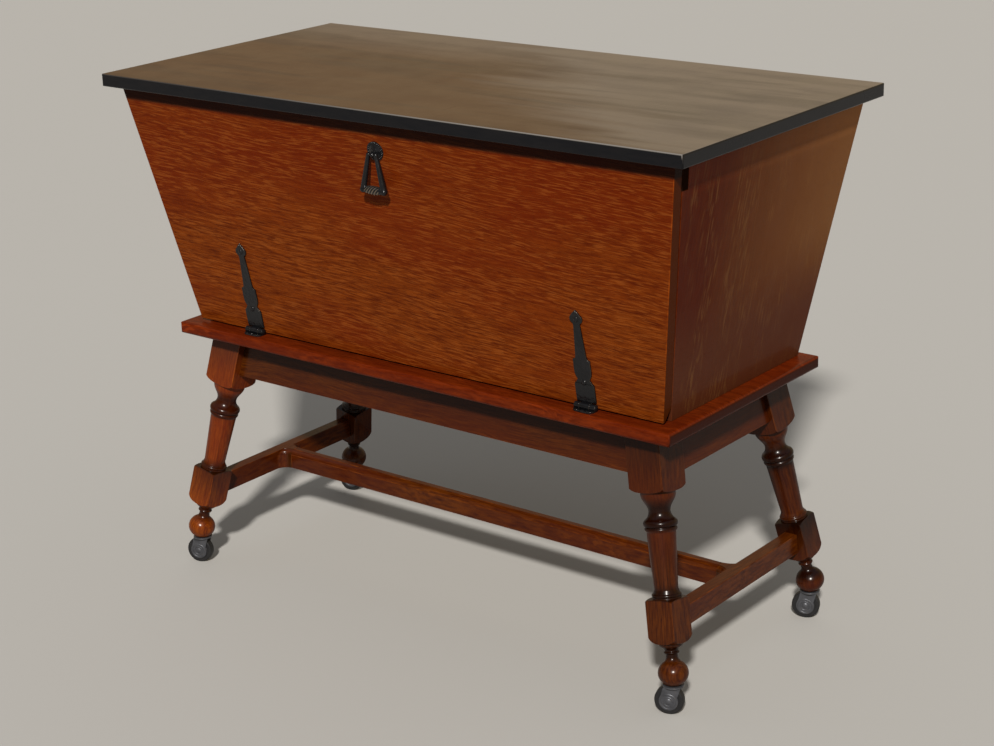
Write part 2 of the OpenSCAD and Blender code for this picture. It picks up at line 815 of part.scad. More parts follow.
// Fork: swivel stem, top plate and the two cheeks that hold the axle
module castor_fork(sx, sy) {
    plate_r = 0.7*ball_r;
    cheek_in = wheel_w/2 + 0.5;
    cheek_out = cheek_in + sheet_th;
    top_half = sqrt(plate_r*plate_r - pow(cheek_out, 2));
    color(steel) at_castor(sx, sy) difference() {
        union() {
            translate([0, 0, fork_top]) cylinder(r = stem_r, h = stem_len);
            translate([0, 0, fork_top - sheet_th]) cylinder(r = plate_r, h = sheet_th);
            for (side = [-1, 1]) {
                translate([0, side*(cheek_in + sheet_th/2) + sheet_th/2, 0])
                    rotate([90, 0, 0]) linear_extrude(sheet_th) {
                        translate([-trail, wheel_d/2]) circle(cheek_r);
                        polygon([[-top_half, fork_top - sheet_th/2], [top_half, fork_top - sheet_th/2],
                                 [cheek_r*cos(25) - trail, wheel_d/2 + cheek_r*sin(25)],
                                 [-cheek_r*cos(35) - trail, wheel_d/2 + cheek_r*sin(35)]]);
                    }
                for (share = [0.5, 0.8])
                    translate([-trail, side*cheek_out, wheel_d/2]) rotate([90, 0, 0])
                        rotate_extrude() translate([share*cheek_r, 0]) circle(ring_r, $fn = 24);
            }
        }
        axle_space(axle_r, 4*wheel_w);
    }
}

// Cylinder along the axle of a castor
module axle_space(r, run) {
    translate([-trail, 0, wheel_d/2]) rotate([90, 0, 0]) cylinder(r = r, h = run, center = true);
}

// Axle, riveted over the fork's cheeks
module castor_axle(sx, sy) {
    run = wheel_w + 1 + 2*sheet_th;
    color(steel) at_castor(sx, sy) {
        axle_space(axle_r, run);
        for (side = [-1, 1]) translate([-trail, side*run/2, wheel_d/2])
            rotate([-side*90, 0, 0]) dome(axle_r + 2, 1.4);
    }
}

// Dished hub that turns on the axle
module castor_hub(sx, sy) {
    half = wheel_w/2;
    rim = hub_d/2;
    color(steel) at_castor(sx, sy) translate([-trail, 0, wheel_d/2]) rotate([90, 0, 0])
        rotate_extrude() polygon([
            [axle_r + run_gap, -half], [axle_r + 3, -half], [axle_r + 3.6, -half + 2],
            [rim - 3, -half + 2], [rim - 2, -half], [rim, -half],
            [rim, half], [rim - 2, half], [rim - 3, half - 2],
            [axle_r + 3.6, half - 2], [axle_r + 3, half], [axle_r + run_gap, half]]);
}

// Tyre round the hub
module castor_tyre(sx, sy) {
    half = wheel_w/2;
    round = 2;
    color(rubber) at_castor(sx, sy) translate([-trail, 0, wheel_d/2]) rotate([90, 0, 0])
        rotate_extrude() polygon(concat(
            [[hub_d/2, half], [hub_d/2, -half]],
            arc(wheel_d/2 - round, round - half, round, -90, 0, 5),
            arc(wheel_d/2 - round, half - round, round, 0, 90, 5)));
}

top_board();
base_board();
side_panel(-1);  // side_panel_left
side_panel(1);  // side_panel_right
back_panel();
front_rail();
top_cleats();
floor_cleats();
catch_magnets();
catch_plates();
fall_front();
strap(-1);  // strap_left
strap(1);  // strap_right
hinge_foot(-1);  // hinge_foot_left
hinge_foot(1);  // hinge_foot_right
hinge_pins();
strap_nails();
foot_screws();
pull_rosette();
pull_bail();
long_apron(-1);  // apron_front
long_apron(1);  // apron_back
end_apron(-1);  // apron_left
end_apron(1);  // apron_right
leg(-1, -1);  // leg_front_left
leg(1, -1);  // leg_front_right
leg(-1, 1);  // leg_back_left
leg(1, 1);  // leg_back_right
end_stretcher(-1);  // stretcher_left
end_stretcher(1);  // stretcher_right
long_stretcher();  // stretcher_long
castor_sockets();
castor_fork(-1, -1);  // castor_fork_fl
castor_fork(1, -1);  // castor_fork_fr
castor_fork(-1, 1);  // castor_fork_bl
castor_fork(1, 1);  // castor_fork_br
castor_axle(-1, -1);  // castor_axle_fl
castor_axle(1, -1);  // castor_axle_fr
castor_axle(-1, 1);  // castor_axle_bl
castor_axle(1, 1);  // castor_axle_br
castor_hub(-1, -1);  // castor_hub_fl
castor_hub(1, -1);  // castor_hub_fr
castor_hub(-1, 1);  // castor_hub_bl
castor_hub(1, 1);  // castor_hub_br
castor_tyre(-1, -1);  // castor_tyre_fl
castor_tyre(1, -1);  // castor_tyre_fr
castor_tyre(-1, 1);  // castor_tyre_bl
castor_tyre(1, 1);  // castor_tyre_br
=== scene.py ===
"""Looks of the dough bin: eased arrises, figured oak, lacquered iron, castors, light, camera."""

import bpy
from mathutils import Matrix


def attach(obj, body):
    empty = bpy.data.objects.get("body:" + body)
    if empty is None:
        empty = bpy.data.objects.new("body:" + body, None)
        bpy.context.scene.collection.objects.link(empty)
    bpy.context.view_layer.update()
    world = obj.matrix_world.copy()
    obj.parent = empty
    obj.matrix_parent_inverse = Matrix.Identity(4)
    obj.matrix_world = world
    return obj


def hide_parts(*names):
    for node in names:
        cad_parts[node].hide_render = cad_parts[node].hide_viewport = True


bl_info = {
    "name": "Dough Bin Finish",
    "version": (1, 0, 0),
    "blender": (4, 5, 0),
    "location": "3D View > Sidebar > Dough Bin",
    "description": "Dresses the packed dough bin with its woods, irons and castors",
    "category": "Object",
}

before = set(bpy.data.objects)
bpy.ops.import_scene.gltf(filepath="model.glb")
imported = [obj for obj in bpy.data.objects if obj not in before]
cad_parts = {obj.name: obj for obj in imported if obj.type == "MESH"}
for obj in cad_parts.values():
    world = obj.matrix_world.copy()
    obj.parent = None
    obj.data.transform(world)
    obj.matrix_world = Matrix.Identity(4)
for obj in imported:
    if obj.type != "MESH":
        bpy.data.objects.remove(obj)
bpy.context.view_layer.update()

import math

import bpy
from bpy.props import FloatProperty, FloatVectorProperty, PointerProperty
from bpy.types import Operator, Panel, PropertyGroup
from mathutils import Matrix, Vector

CORNERS = {"fl": (-1, -1), "fr": (1, -1), "bl": (-1, 1), "br": (1, 1)}
X, Y = (1, 0, 0), (0, 1, 0)

# Meshes. Lengths are in metres and angles in degrees, here and below.
WELD = 1e-6               # points of a CAD mesh closer than this are one
FLAT_ANGLE = 0.4          # faces of a CAD mesh that turn less than this are one
SHARP_ANGLE = 40.0        # edges that turn more than this are eased
ROUND_ANGLE = 35.0        # faces that turn less than this are shaded as one round
PULL_ROUND_ANGLE = 40.0   # the same on the drop pull, which has no eased edges
ARRIS_SEGMENTS = 2
SHORT_BOARD_EDGE = 0.003  # edges of a board up to this length stay sharp
SHORT_LEG_EDGE = 0.012    # and on a leg, whose turnings have short ones
SMALL_ARRIS = 0.8         # easing of castors and catches, as a share of the straps'
FOOT_ARRIS = 0.5          # easing of the hinges' feet, pins and screws, likewise

# The boards' grain
FRONT_GRAIN = (1, 0, -0.045)     # that of the fall front falls a little to the right
GRAIN_STEP = (1.37, 0.71, 0.43)  # shift of the figure from one seed to the next

# Changes of colour, where each begins and is full, as a height over the floor. Most are painted
# light: reflections of the room on the sides, a paler band under the top, and shade under the
# overhangs
# Painted reflection: the sides and the back turn browner towards the foot
LOW_PAINTED_REFLECTION = (0.58, 0.46)
# Painted reflection of the lit room: the sides turn paler towards the upper back
UPPER_BACK_REFLECTION = (0.46, 0.60)
UPPER_BACK_REFLECTION_DEPTH = (-0.13, 0.21)  # the same from front to back
# Painted light: a paler band on the sides just under the top, lifting the top's shadow there
UNDER_TOP_PAINTED_LIGHT = (0.706, 0.732)
# Redder and darker towards the top of the fall front
UPPER_REDDENING = (0.54, 0.70)
# Painted shadow: the top's overhang casts a near-black band along the fall front's upper edge
FRONT_PAINTED_SHADOW = (0.7375, 0.7425, 0.80)  # with its share where it is full
# Painted shade: the base board's overhang darkens the tops of the aprons and the legs' caps
STAND_PAINTED_SHADE = (0.305, 0.375, 0.60)
# Colour of the painted shade and shadow under the overhangs
PAINTED_SHADE = (0.006, 0.003, 0.002)
# Pale front edge of the top: partly rubbed wear, partly a painted highlight
NOSING_WEAR_AND_HIGHLIGHT = (0.130, 0.119, 0.108)

# Each leg's corner, and how much its colour is scaled: over 1 is paler, under 1 darker
LEGS = (("leg_front_left", "fl", 2.4), ("leg_front_right", "fr", 0.85),
        ("leg_back_left", "bl", 0.8), ("leg_back_right", "br", 0.8))
# Coves of a leg, down its axis from its top: the darkening begins, is full, thins and ends
COVES = ((0.094, 0.108, 0.137, 0.1405), (0.208, 0.220, 0.229, 0.232),
         (0.286, 0.297, 0.309, 0.318))
COVE_DEPTH = 0.80

# The roped grip of the bail
GRIP_HEIGHT = 0.014  # over the lowest point of the bail
GRIP_HALF = 0.0125   # half of its length
GRIP_RING = 12       # fewest points of one ring of the rope
# The rope's crests get polish and a painted glint
CREST_FROM = 0.90    # share of the rope's radius where the polish of its crests begins
CREST_RISE = 0.09    # and the share after which it is full

# The room round the bin, which the varnish reflects
FLOOR_SIZE = 60.0
SENSOR_WIDTH = 36.0  # millimetres
KEY_TINT = (1.0, 0.96, 0.90)
ROOM_LEFT = (0.52, 0.39, 0.24)
ROOM_SIDES = (0.78, 0.61, 0.36)
ROOM_FRONT = (0.30, 0.26, 0.21)
ROOM_CEILING = (0.50, 0.56, 0.64)
BACKDROP = (0.64, 0.60, 0.55)

# Colour sockets of a Mix node
MIX_A, MIX_B, MIX_RESULT = 6, 7, 2


def colour(name, description, default):
    """A colour that the user can set."""
    return FloatVectorProperty(name=name, description=description, default=default,
                               size=3, min=0.0, max=1.0, subtype="COLOR")


def length(name, description, default):
    """A length that the user can set, in metres."""
    return FloatProperty(name=name, description=description, default=default, min=0.0,
                         subtype="DISTANCE", unit="LENGTH", precision=5)


def angle(name, description, degrees):
    """An angle that the user can set, given here in degrees."""
    return FloatProperty(name=name, description=description, default=math.radians(degrees),
                         subtype="ANGLE", unit="ROTATION")


class DoughBinColours(PropertyGroup):
    """Stains, varnishes and lacquers."""

    front_light: colour("Front, light", "Light figure of the fall front",
                        (0.140, 0.0275, 0.0021))
    front_dark: colour("Front, dark", "Dark figure of the fall front", (0.058, 0.0080, 0.0008))
    front_red: colour("Front, red", "Redder patches of the fall front",
                      (0.090, 0.0080, 0.0006))
    front_fleck: colour("Front, flecks", "Ray flecks of the fall front",
                        (0.215, 0.0560, 0.0085))
    side_light: colour("Sides, light", "Light figure of the sides and the back",
                       (0.061, 0.0102, 0.0012))
    side_dark: colour("Sides, dark", "Dark figure of the sides and the back",
                      (0.040, 0.0058, 0.0007))
    side_red: colour("Sides, red", "Redder patches of the sides and the back",
                     (0.050, 0.0048, 0.0007))
    side_fleck: colour("Sides, flecks", "Ray flecks of the sides and the back",
                       (0.145, 0.066, 0.020))
    # Painted reflection of the lit room at the upper back of the sides
    side_upper_back_reflection: colour("Sides, faded", "Faded upper back corner of the sides",
                       (0.138, 0.0560, 0.0165))
    # Painted reflection of the floor on the foot of the sides and the back
    side_low_reflection: colour("Sides, low", "Browner foot of the sides and the back",
                     (0.062, 0.0185, 0.0080))
    rail_light: colour("Rail, light", "Light figure of the front rail", (0.030, 0.012, 0.006))
    rail_dark: colour("Rail, dark", "Dark figure of the front rail", (0.012, 0.005, 0.003))
    base_light: colour("Base, light", "Light figure of the base board",
                       (0.108, 0.0150, 0.0017))
    base_dark: colour("Base, dark", "Dark figure of the base board", (0.044, 0.0046, 0.0005))
    base_red: colour("Base, red", "Redder patches of the base board", (0.072, 0.0062, 0.0005))
    stand_light: colour("Stand, light", "Light figure of the legs and rails",
                        (0.070, 0.0158, 0.0008))
    stand_dark: colour("Stand, dark", "Dark figure of the legs and rails",
                       (0.024, 0.0034, 0.0003))
    stand_red: colour("Stand, red", "Redder patches of the legs and rails",
                      (0.038, 0.0040, 0.0006))
    top_light: colour("Top, light", "Light streaks of the stained top",
                      (0.0050, 0.0045, 0.0052))
    top_dark: colour("Top, dark", "Dark ground of the stained top", (0.0020, 0.0022, 0.0034))
    # Painted reflection: the room's light on the top's upper face, brushed along the board
    top_sheen: colour("Top, haze", "Brushed haze on the stained top", (0.069, 0.035, 0.014))
    top_pale_sheen: colour("Top, bloom", "Paler haze towards the right and the back",
                      (0.129, 0.101, 0.075))
    inner_light: colour("Inside, light", "Light figure of the bare wood inside",
                        (0.50, 0.34, 0.20))
    inner_dark: colour("Inside, dark", "Dark figure of the bare wood inside",
                       (0.27, 0.16, 0.085))
    iron: colour("Iron", "Lacquer of the straps and the pull", (0.0030, 0.0030, 0.0036))
    iron_rubbed: colour("Iron, rubbed", "Rubbed edges of the iron", (0.060, 0.046, 0.032))
    steel: colour("Steel", "Forks, axles and sockets of the castors", (0.082, 0.084, 0.094))
    plate: colour("Plate", "Plates of the catches", (0.55, 0.55, 0.54))
    catch: colour("Catch", "Housings of the catches", (0.62, 0.60, 0.54))
    hub: colour("Hub", "Hubs of the castors", (0.045, 0.045, 0.050))
    tyre: colour("Tyre", "Tyres of the castors", (0.0060, 0.0060, 0.0068))
    floor: colour("Floor", "Plain floor", (0.33, 0.322, 0.308))


class DoughBinSizes(PropertyGroup):
    """Worked edges, lean of the boards and splay of the legs."""

    board_arris: length("Board arris", "Easing of the sawn edges of the bin's boards", 0.0007)
    front_arris: length("Front arris", "Easing of the fall front's edges", 0.0010)
    stand_arris: length("Stand arris", "Easing of the legs' blocks and the rails", 0.0009)
    iron_arris: length("Iron arris", "Easing of the straps' filed edges", 0.0005)
    front_lean: angle("Front lean", "Outward lean of the fall front", 10.3)
    side_lean: angle("Side lean", "Outward lean of the side panels", 9.6)
    back_lean: angle("Back lean", "Outward lean of the back panel", 9.5)
    splay_x: angle("Splay, ends", "Splay of the legs towards the ends", 11.5)
    splay_y: angle("Splay, front", "Splay of the legs to the front and back", 8.8)


class DoughBinStage(PropertyGroup):
    """Camera and light."""

    camera_at: FloatVectorProperty(name="Camera", description="Place of the camera", size=3,
                                   default=(1.8178, -2.2692, 1.3391), subtype="TRANSLATION")
    camera_yaw: angle("Camera yaw", "Turn of the camera to the left", 38.42)
    camera_pitch: angle("Camera pitch", "Tilt of the camera downwards", 18.91)
    camera_roll: angle("Camera roll", "Roll of the camera", -1.70)
    camera_lens: FloatProperty(name="Lens", description="Focal length on a 36 mm sensor",
                               default=76.28, min=10.0, subtype="DISTANCE_CAMERA")
    key_from: FloatVectorProperty(name="Key from", description="Where the main light comes from",
                                  size=3, default=(0.422, -0.676, 0.603), subtype="DIRECTION")
    key_strength: FloatProperty(name="Key light", description="Strength of the main light",
                                default=5.6, min=0.0)
    key_spread: angle("Key spread", "Softness of the main light's shadows", 4.0)
    sky: FloatProperty(name="Sky", description="Strength of the even light", default=0.74,
                       min=0.0)


# Building node trees


class Tree:
    """Short calls for building one node tree."""

    def __init__(self, tree):
        self.tree = tree
        tree.nodes.clear()

    def add(self, kind, inputs=None, **settings):
        node = self.tree.nodes.new(kind)
        for key, value in settings.items():
            setattr(node, key, value)
        for key, value in (inputs or {}).items():
            self.feed(value, node.inputs[key])
        return node

    def feed(self, value, socket):
        """Links another socket to this one, or sets this one to a value."""
        if isinstance(value, bpy.types.NodeSocket):
            self.tree.links.new(value, socket)
        else:
            socket.default_value = value

    def place(self):
        """The place on the piece, in metres."""
        return self.add("ShaderNodeTexCoord").outputs["Object"]

    def attribute(self, name, output="Fac"):
        return self.add("ShaderNodeAttribute", attribute_name=name).outputs[output]

    def parts(self, vector):
        """The vector's X, Y and Z."""
        return self.add("ShaderNodeSeparateXYZ", {"Vector": vector}).outputs

    def joined(self, x, y, z):
        return self.add("ShaderNodeCombineXYZ", {"X": x, "Y": y, "Z": z}).outputs[0]

    def math(self, operation, a, b, clamp=False):
        node = self.add("ShaderNodeMath", operation=operation, use_clamp=clamp)
        self.feed(a, node.inputs[0])
        self.feed(b, node.inputs[1])
        return node.outputs[0]

    def plus(self, a, b, clamp=False):
        return self.math("ADD", a, b, clamp)

    def minus(self, a, b):
        return self.math("SUBTRACT", a, b)

    def times(self, a, b):
        return self.math("MULTIPLY", a, b)

    def vector(self, operation, a, b):
        node = self.add("ShaderNodeVectorMath", operation=operation)
        self.feed(a, node.inputs[0])
        self.feed(b, node.inputs[1])
        return node.outputs[0]

    def noise(self, vector, scale=1.0, stretch=None, detail=2.0, roughness=0.5, distortion=0.0):
        """Noise of a scale per metre. On a board, stretch is along, across and through it."""
        if stretch is not None:
            vector = self.vector("MULTIPLY", vector, stretch)
        node = self.add("ShaderNodeTexNoise", {"Vector": vector, "Scale": scale, "Detail": detail,
                                               "Roughness": roughness, "Distortion": distortion})
        return node.outputs["Fac"]

    def span(self, value, low, high, to_low=0.0, to_high=1.0, smooth=True):
        """The value's share of the way from low to high, eased, and spread to a new range."""
        node = self.add("ShaderNodeMapRange", {"Value": value, "From Min": low, "From Max": high,
                                               "To Min": to_low, "To Max": to_high},
                        interpolation_type="SMOOTHSTEP" if smooth else "LINEAR")
        return node.outputs["Result"]

    def mix(self, share, a, b, blend="MIX"):
        node = self.add("ShaderNodeMix", data_type="RGBA", blend_type=blend)
        self.feed(share, node.inputs["Factor"])
        self.feed(as_rgba(a), node.inputs[MIX_A])
        self.feed(as_rgba(b), node.inputs[MIX_B])
        return node.outputs[MIX_RESULT]

    def group(self, build, **inputs):
        """The shared group that build makes, with values of its own. It is made once."""
        name = build.__name__.replace("_", " ").capitalize()
        tree = bpy.data.node_groups.get(name) or build(name)
        node = self.add("ShaderNodeGroup", node_tree=tree)
        for key, value in inputs.items():
            self.feed(value, node.inputs[key.replace("_", " ").capitalize()])
        return node.outputs

    def bump(self, height, strength, distance):
        node = self.add("ShaderNodeBump", {"Strength": strength, "Distance": distance,
                                           "Height": height})
        return node.outputs["Normal"]

    def shader(self, **inputs):
        """Ends a material in one shader. An input's name is its socket's, with underscores."""
        node = self.add("ShaderNodeBsdfPrincipled")
        for key, value in inputs.items():
            name = " ".join(w.capitalize() for w in key.split("_")).replace("Ior", "IOR")
            self.feed(as_rgba(value) if name.endswith("Color") else value, node.inputs[name])
        out = self.add("ShaderNodeOutputMaterial")
        self.feed(node.outputs["BSDF"], out.inputs["Surface"])


def as_rgba(value):
    """A colour of three numbers with a fourth of one, and a socket as it is."""
    return value if isinstance(value, bpy.types.NodeSocket) else (*value, 1.0)


def toned(base, share):
    """A paler or darker tone of a colour."""
    return [min(1.0, part*share) for part in base]


def new_group(name, inputs, outputs):
    """An empty shader node group, with inputs by name and default, and outputs of one value."""
    tree = bpy.data.node_groups.new(name, "ShaderNodeTree")
    kinds = {float: "NodeSocketFloat", tuple: "NodeSocketVector"}
    for key, default in inputs.items():
        socket = tree.interface.new_socket(key, in_out="INPUT", socket_type=kinds[type(default)])
        socket.default_value = default
    for key in outputs:
        tree.interface.new_socket(key, in_out="OUTPUT", socket_type="NodeSocketFloat")
    t = Tree(tree)
    return t, t.add("NodeGroupInput").outputs, t.add("NodeGroupOutput").inputs


def new_material(name):
    """A material and its empty node tree."""
    material = bpy.data.materials.new(name)
    material.use_nodes = True
    return material, Tree(material.node_tree)


def oak_figure(name):
    """Quarter-sawn oak: growth lines, broad bands, silky ray flecks and open pores."""
    t, given, result = new_group(
        name,
        {"Grain": (0.0, 0.0, 0.0), "Wave": 0.006, "Line width": 0.0024, "Fleck length": 0.018,
         "Fleck width": 0.0020, "Fleck share": 0.5},
        ["Tone", "Fleck", "Pore", "Patch"])
    grain = given["Grain"]
    drift = t.noise(grain, stretch=(2.4, 5.0, 5.0), detail=1.0)
    ripple = t.noise(grain, stretch=(13.0, 14.0, 14.0), detail=1.0)
    swing = t.plus(t.minus(drift, 0.5), t.times(t.minus(ripple, 0.5), 0.18))
    shift = t.times(swing, t.times(given["Wave"], 8.0))
    waved = t.vector("ADD", grain, t.joined(0.0, shift, 0.0))
    line_scale = t.joined(30.0, t.math("DIVIDE", 1.0, given["Line width"]), 200.0)
    lines = t.noise(waved, stretch=line_scale, detail=3.0, roughness=0.68)
    bands = t.noise(waved, stretch=(1.3, 30.0, 20.0), detail=3.0)
    patch = t.noise(grain, stretch=(3.4, 8.0, 8.0), detail=3.0)
    pores = t.noise(waved, stretch=(130.0, 2300.0, 2300.0), detail=1.0)
    fleck_scale = t.joined(t.math("DIVIDE", 1.0, given["Fleck length"]),
                           t.math("DIVIDE", 1.0, given["Fleck width"]), 90.0)
    silk = t.noise(waved, stretch=fleck_scale, detail=1.5, distortion=0.25)
    spread = t.times(given["Fleck share"], 0.6)
    gate = t.span(t.noise(grain, stretch=(8.0, 30.0, 30.0)),
                  t.minus(0.75, spread), t.minus(0.98, spread))
    tone = t.plus(t.times(lines, 1.1), t.times(bands, 0.20))
    t.feed(t.span(tone, 0.48, 0.82, smooth=False), result["Tone"])
    t.feed(t.times(t.span(silk, 0.50, 0.63), gate), result["Fleck"])
    t.feed(t.span(pores, 0.60, 0.72), result["Pore"])
    t.feed(t.span(patch, 0.36, 0.66), result["Patch"])
    return t.tree


def worn_film(name):
    """Varnish or lacquer: smears, fine scratches and settled dust."""
    t, given, result = new_group(
        name, {"Place": (0.0, 0.0, 0.0), "Smear size": 0.06, "Scratch": 0.5},
        ["Smear", "Scratch", "Speck"])
    place, size = given["Place"], given["Smear size"]
    smear = t.noise(t.vector("DIVIDE", place, t.joined(size, size, size)), detail=4.0,
                    roughness=0.6)
    along = t.noise(place, stretch=(14.0, 900.0, 900.0), detail=1.0)
    across = t.noise(place, stretch=(700.0, 22.0, 700.0), detail=1.0)
    hairs = t.math("MAXIMUM", t.span(along, 0.70, 0.76), t.span(across, 0.71, 0.77))
    t.feed(t.span(smear, 0.3, 0.75), result["Smear"])
    t.feed(t.times(hairs, given["Scratch"]), result["Scratch"])
    t.feed(t.span(t.noise(place, 420.0, detail=1.0), 0.66, 0.74), result["Speck"])
    return t.tree


def edge_wear(name):
    """Eased edges where a finish is rubbed, broken up so that the wear never runs as a line."""
    t, given, result = new_group(name, {"Place": (0.0, 0.0, 0.0), "Reach": 0.35}, ["Wear"])
    rub = t.noise(given["Place"], 38.0, detail=3.0, roughness=0.65)
    rubbed = t.span(rub, t.minus(0.70, given["Reach"]), 0.70)
    t.feed(t.times(t.attribute("arris"), rubbed), result["Wear"])
    return t.tree


def varnished_oak(name, light, dark, red, fleck=None, upper_back_reflection=None, low=None, wave=0.006,
                  line_width=0.0024, fleck_length=0.018, fleck_width=0.0014, fleck_share=0.5,
                  fleck_mix=0.55, gloss=0.30, coat=0.3, coat_roughness=0.10, specular=0.05,
                  end_tone=0.35, upper_red=0.0, under_top_painted_light=0.0, painted_shade=None):
    """Stained, figured oak under varnish. The grain follows each piece's own grain attribute."""
    material, t = new_material(name)
    grain = t.attribute("grain", "Vector")
    oak = t.group(oak_figure, grain=grain, wave=wave, line_width=line_width,
                  fleck_length=fleck_length, fleck_width=fleck_width, fleck_share=fleck_share)
    film = t.group(worn_film, place=grain, smear_size=0.05, scratch=0.6)
    wear = t.group(edge_wear, place=grain, reach=0.3)["Wear"]
    at = t.parts(t.place())
    body = t.mix(oak["Tone"], dark, light)
    body = t.mix(t.times(oak["Patch"], 0.7), body, t.mix(0.75, body, red))
    # Painted reflection: browner towards the foot
    if low is not None:
        body = t.mix(t.span(at["Z"], *LOW_PAINTED_REFLECTION, 0.0, 0.75), body, low)
    # Painted reflection of the lit room: paler towards the upper back
    if upper_back_reflection is not None:
        away = t.times(t.span(at["Y"], *UPPER_BACK_REFLECTION_DEPTH, smooth=False),
                       t.span(at["Z"], *UPPER_BACK_REFLECTION))
        body = t.mix(t.times(away, 0.9), body, upper_back_reflection)
    # Painted light: paler just under the top, where the top's shadow falls
    if under_top_painted_light > 0.0:
        paler = t.mix(1.0, body, (1.9, 1.9, 1.9), blend="MULTIPLY")
        body = t.mix(t.span(at["Z"], *UNDER_TOP_PAINTED_LIGHT, 0.0, under_top_painted_light), body, paler)
    # Redder and darker towards the top
    if upper_red > 0.0:
        redder = t.mix(0.8, body, red)
        body = t.mix(t.span(at["Z"], *UPPER_REDDENING, 0.0, upper_red), body, redder)
    body = t.mix(t.times(oak["Fleck"], fleck_mix), body, fleck or toned(light, 1.6))
    body = t.mix(t.times(oak["Pore"], 0.5), body, toned(dark, 0.35))
    body = t.mix(t.times(wear, 0.6), body, toned(light, 2.0))
    body = t.mix(t.span(t.attribute("end_grain"), 0.80, 0.97), body, toned(light, end_tone))
    # Painted shade: darker near a given height, for the shadow under an overhang
    if painted_shade is not None:
        begins, is_full, share = painted_shade
        body = t.mix(t.span(at["Z"], begins, is_full, 0.0, share), body, PAINTED_SHADE)
    body = t.mix(1.0, body, t.attribute("stain", "Color"), blend="MULTIPLY")
    rough = t.plus(gloss, t.times(film["Smear"], 0.14))
    rough = t.plus(rough, t.times(film["Scratch"], 0.10))
    height = t.minus(t.times(oak["Tone"], 0.3), oak["Pore"])
    t.shader(base_color=body, roughness=rough, normal=t.bump(height, 0.25, 0.0003),
             specular_ior_level=specular, coat_weight=coat, coat_roughness=coat_roughness,
             coat_ior=1.5)
    return material


def bare_oak(name, light, dark):
    """Unfinished wood of the hidden cleats."""
    material, t = new_material(name)
    oak = t.group(oak_figure, grain=t.attribute("grain", "Vector"), wave=0.008,
                  fleck_share=0.3)
    body = t.mix(oak["Tone"], dark, light)
    body = t.mix(t.times(oak["Pore"], 0.6), body, toned(dark, 0.4))
    t.shader(base_color=body, roughness=t.span(oak["Tone"], 0.0, 1.0, 0.72, 0.58),
             normal=t.bump(t.minus(oak["Tone"], oak["Pore"]), 0.4, 0.0004))
    return material


def stained_top(name, light, dark, sheen, pale_sheen):
    """Near-black stain under satin varnish, with the room's reflection painted in as a brushed
    sheen along the board.
    """
    material, t = new_material(name)
    grain = t.attribute("grain", "Vector")
    oak = t.group(oak_figure, grain=grain, wave=0.005, fleck_share=0.2)
    film = t.group(worn_film, place=grain, smear_size=0.09, scratch=0.9)
    streak = t.noise(grain, stretch=(2.6, 17.0, 17.0), detail=3.0, distortion=0.3)
    brushed = t.noise(grain, stretch=(5.0, 130.0, 130.0))
    wisps = t.noise(grain, stretch=(3.6, 34.0, 34.0), distortion=0.5)
    at = t.parts(t.place())
    facing = t.parts(t.add("ShaderNodeNewGeometry").outputs["Normal"])
    # The painted reflection is palest towards the right and along the back edge
    sweep = t.plus(t.plus(at["X"], t.times(at["Y"], 1.1)), t.times(t.minus(streak, 0.5), 0.55))
    back = t.plus(at["Y"], t.times(streak, 0.1))
    pale = t.math("MAXIMUM", t.span(sweep, -0.02, 0.26, 0.0, 0.9),
                  t.span(back, 0.08, 0.28, 0.0, 0.65))
    # It lies on the upper face alone, streaked, with dark wisps in it
    sheen_share = t.plus(t.minus(t.span(streak, 0.28, 0.58, 0.66, 1.0),
                          t.span(wisps, 0.54, 0.72, 0.0, 0.24)),
                  t.times(t.minus(brushed, 0.5), 0.30), clamp=True)
    sheen_share = t.times(sheen_share, t.span(facing["Z"], 0.8, 0.98))
    body = t.mix(t.times(oak["Tone"], 0.6), dark, light)
    body = t.mix(sheen_share, body, t.mix(pale, sheen, pale_sheen))
    # The rounded front edge is painted pale, more so to the right: partly rubbed wear, partly a
    # painted highlight
    nosing_wear_and_highlight = t.times(t.span(facing["Z"], 0.15, 0.60), t.span(facing["Y"], -0.15, -0.45))
    nosing_wear_and_highlight = t.times(nosing_wear_and_highlight, t.span(at["X"], -0.40, 0.25, 0.15, 1.0))
    body = t.mix(nosing_wear_and_highlight, body, NOSING_WEAR_AND_HIGHLIGHT)
    rough = t.plus(t.span(sheen_share, 0.0, 1.0, 0.26, 0.36), t.times(film["Smear"], 0.10))
    rough = t.plus(rough, t.times(film["Scratch"], 0.12))
    height = t.minus(t.times(oak["Tone"], 0.5), oak["Pore"])
    t.shader(base_color=body, roughness=rough, normal=t.bump(height, 0.04, 0.0003),
             specular_ior_level=0.20)
    return material


